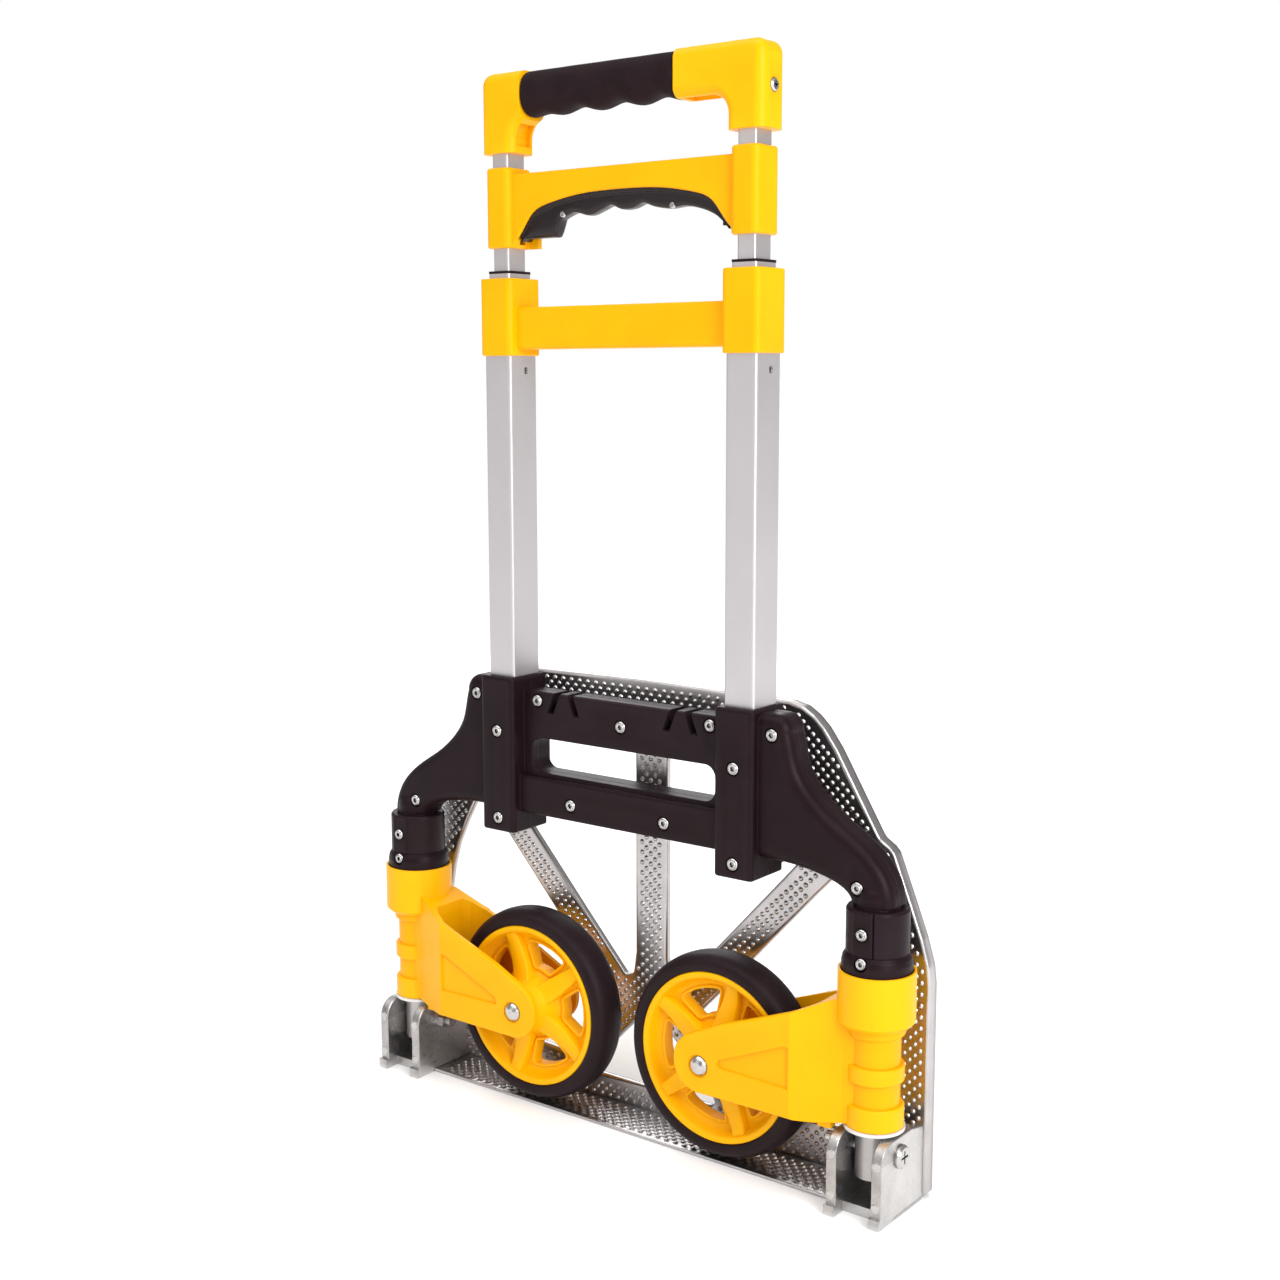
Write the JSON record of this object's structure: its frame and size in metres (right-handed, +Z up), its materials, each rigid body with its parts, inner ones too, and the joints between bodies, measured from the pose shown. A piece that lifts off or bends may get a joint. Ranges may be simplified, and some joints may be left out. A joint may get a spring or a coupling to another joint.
{
  "type": "folding hand truck",
  "caption": "Folding two-wheel hand truck, folded flat: telescoping handle, pressed toe plate on hinges, wheels on swing-out knuckles.",
  "frame": {"origin": "floor level, middle of the overall width and depth, folded with the handle down", "axes": "+Z up along the telescoping tubes, +Y towards the folded toe plate, +X to the right seen from the wheel side"},
  "size_m": [0.476, 0.0732, 0.7735],
  "materials": {
    "yellow_plastic": "glossy moulded yellow plastic",
    "black_plastic": "finely textured black moulded plastic",
    "black_foam": "soft matte black grip",
    "anodised_tube": "satin anodised",
    "bright_plate": "bright pressed sheet",
    "cast_bracket": "rough cast",
    "bright_steel": "bright plated",
    "dark_steel": "plated steel",
    "white_nylon": "natural nylon",
    "tyre_rubber": "matte black rubber"
  },
  "bodies": {
    "frame": {"outer_tube_left": "anodised_tube", "outer_tube_right": "anodised_tube", "collar_bar": "yellow_plastic", "housing_front": "black_plastic", "housing_rear": "black_plastic", "housing_screws": "bright_steel", "pivot_tube_left": "anodised_tube", "pivot_tube_right": "anodised_tube", "clamp_left": "black_plastic", "clamp_right": "black_plastic", "clamp_screws": "bright_steel", "collar_bush_left": "black_plastic", "collar_bush_right": "black_plastic", "cup_springs": "dark_steel"},
    "middle_stage": {"mid_tube_left": "anodised_tube", "mid_tube_right": "anodised_tube", "mid_tube_seals": "black_plastic", "mid_glides": "black_plastic", "mid_lock_pins": "dark_steel"},
    "handle": {"inner_tube_left": "anodised_tube", "inner_tube_right": "anodised_tube", "inner_glides": "black_plastic", "inner_lock_pins": "dark_steel", "mid_bar": "yellow_plastic", "lever_springs": "dark_steel", "handle_elbow_left": "yellow_plastic", "handle_elbow_right": "yellow_plastic", "grip": "black_foam", "grip_core": "dark_steel", "elbow_screws": "bright_steel"},
    "lever": {"release_lever": "black_plastic", "release_rods": "dark_steel"},
    "toe_plate_body": {"toe_plate": "bright_plate", "toe_lip": "bright_plate", "hinge_bracket_left": "cast_bracket", "hinge_bracket_right": "cast_bracket", "plate_rivets": "bright_steel", "hinge_bolts": "bright_steel", "hinge_nuts": "dark_steel", "hinge_spring_washers": "dark_steel"},
    "carrier_left": {"thrust_washer_left": "white_nylon"},
    "carrier_right": {"thrust_washer_right": "white_nylon"},
    "knuckle_left_body": {"knuckle_left": "yellow_plastic", "axle_left": "bright_steel"},
    "knuckle_right_body": {"knuckle_right": "yellow_plastic", "axle_right": "bright_steel"},
    "wheel_left": {"rim_left": "yellow_plastic", "tyre_left": "tyre_rubber", "hub_bush_left": "black_plastic"},
    "wheel_right": {"rim_right": "yellow_plastic", "tyre_right": "tyre_rubber", "hub_bush_right": "black_plastic"}
  },
  "joints": [
    {"name": "middle_stage_slide", "type": "slide", "parent": "frame", "child": "middle_stage", "axis": [0, 0, 1], "range_m": [0, 0.13]},
    {"name": "handle_slide", "type": "slide", "parent": "middle_stage", "child": "handle", "axis": [0, 0, 1], "range_m": [0, 0.13]},
    {"name": "release_squeeze", "type": "slide", "parent": "handle", "child": "lever", "axis": [0, 0, 1], "range_m": [0, 0.005], "stiffness_N_per_m": 2500, "springref_m": -0.003, "deforming": ["lever_springs"]},
    {"name": "toe_plate_fold", "type": "hinge", "parent": "frame", "child": "toe_plate_body", "pos_m": [0, -0.0054, 0.043], "axis": [-1, 0, 0], "range_deg": [0, 90]},
    {"name": "carrier_left_lift", "type": "slide", "parent": "frame", "child": "carrier_left", "axis": [0, 0, 1], "range_m": [0, 0.0135]},
    {"name": "carrier_right_lift", "type": "slide", "parent": "frame", "child": "carrier_right", "axis": [0, 0, 1], "range_m": [0, 0.0135]},
    {"name": "knuckle_left_swing", "type": "hinge", "parent": "carrier_left", "child": "knuckle_left_body", "pos_m": [-0.2117, -0.0044, 0.1], "axis": [0, 0, -1], "range_deg": [0, 90]},
    {"name": "knuckle_right_swing", "type": "hinge", "parent": "carrier_right", "child": "knuckle_right_body", "pos_m": [0.2117, -0.0044, 0.1], "axis": [0, 0, 1], "range_deg": [0, 90]},
    {"name": "wheel_left_spin", "type": "hinge", "parent": "knuckle_left_body", "child": "wheel_left", "pos_m": [-0.0869, -0.0024, 0.0794], "axis": [0, 1, 0], "continuous": true},
    {"name": "wheel_right_spin", "type": "hinge", "parent": "knuckle_right_body", "child": "wheel_right", "pos_m": [0.0869, -0.0024, 0.0794], "axis": [0, 1, 0], "continuous": true}
  ],
  "couplings": [
    {"joint": "carrier_left_lift", "follows": "toe_plate_fold", "m_per_rad": 0.0085944},
    {"joint": "carrier_right_lift", "follows": "toe_plate_fold", "m_per_rad": 0.0085944},
    {"joint": "knuckle_left_swing", "follows": "toe_plate_fold", "ratio": 1},
    {"joint": "knuckle_right_swing", "follows": "toe_plate_fold", "ratio": 1}
  ]
}
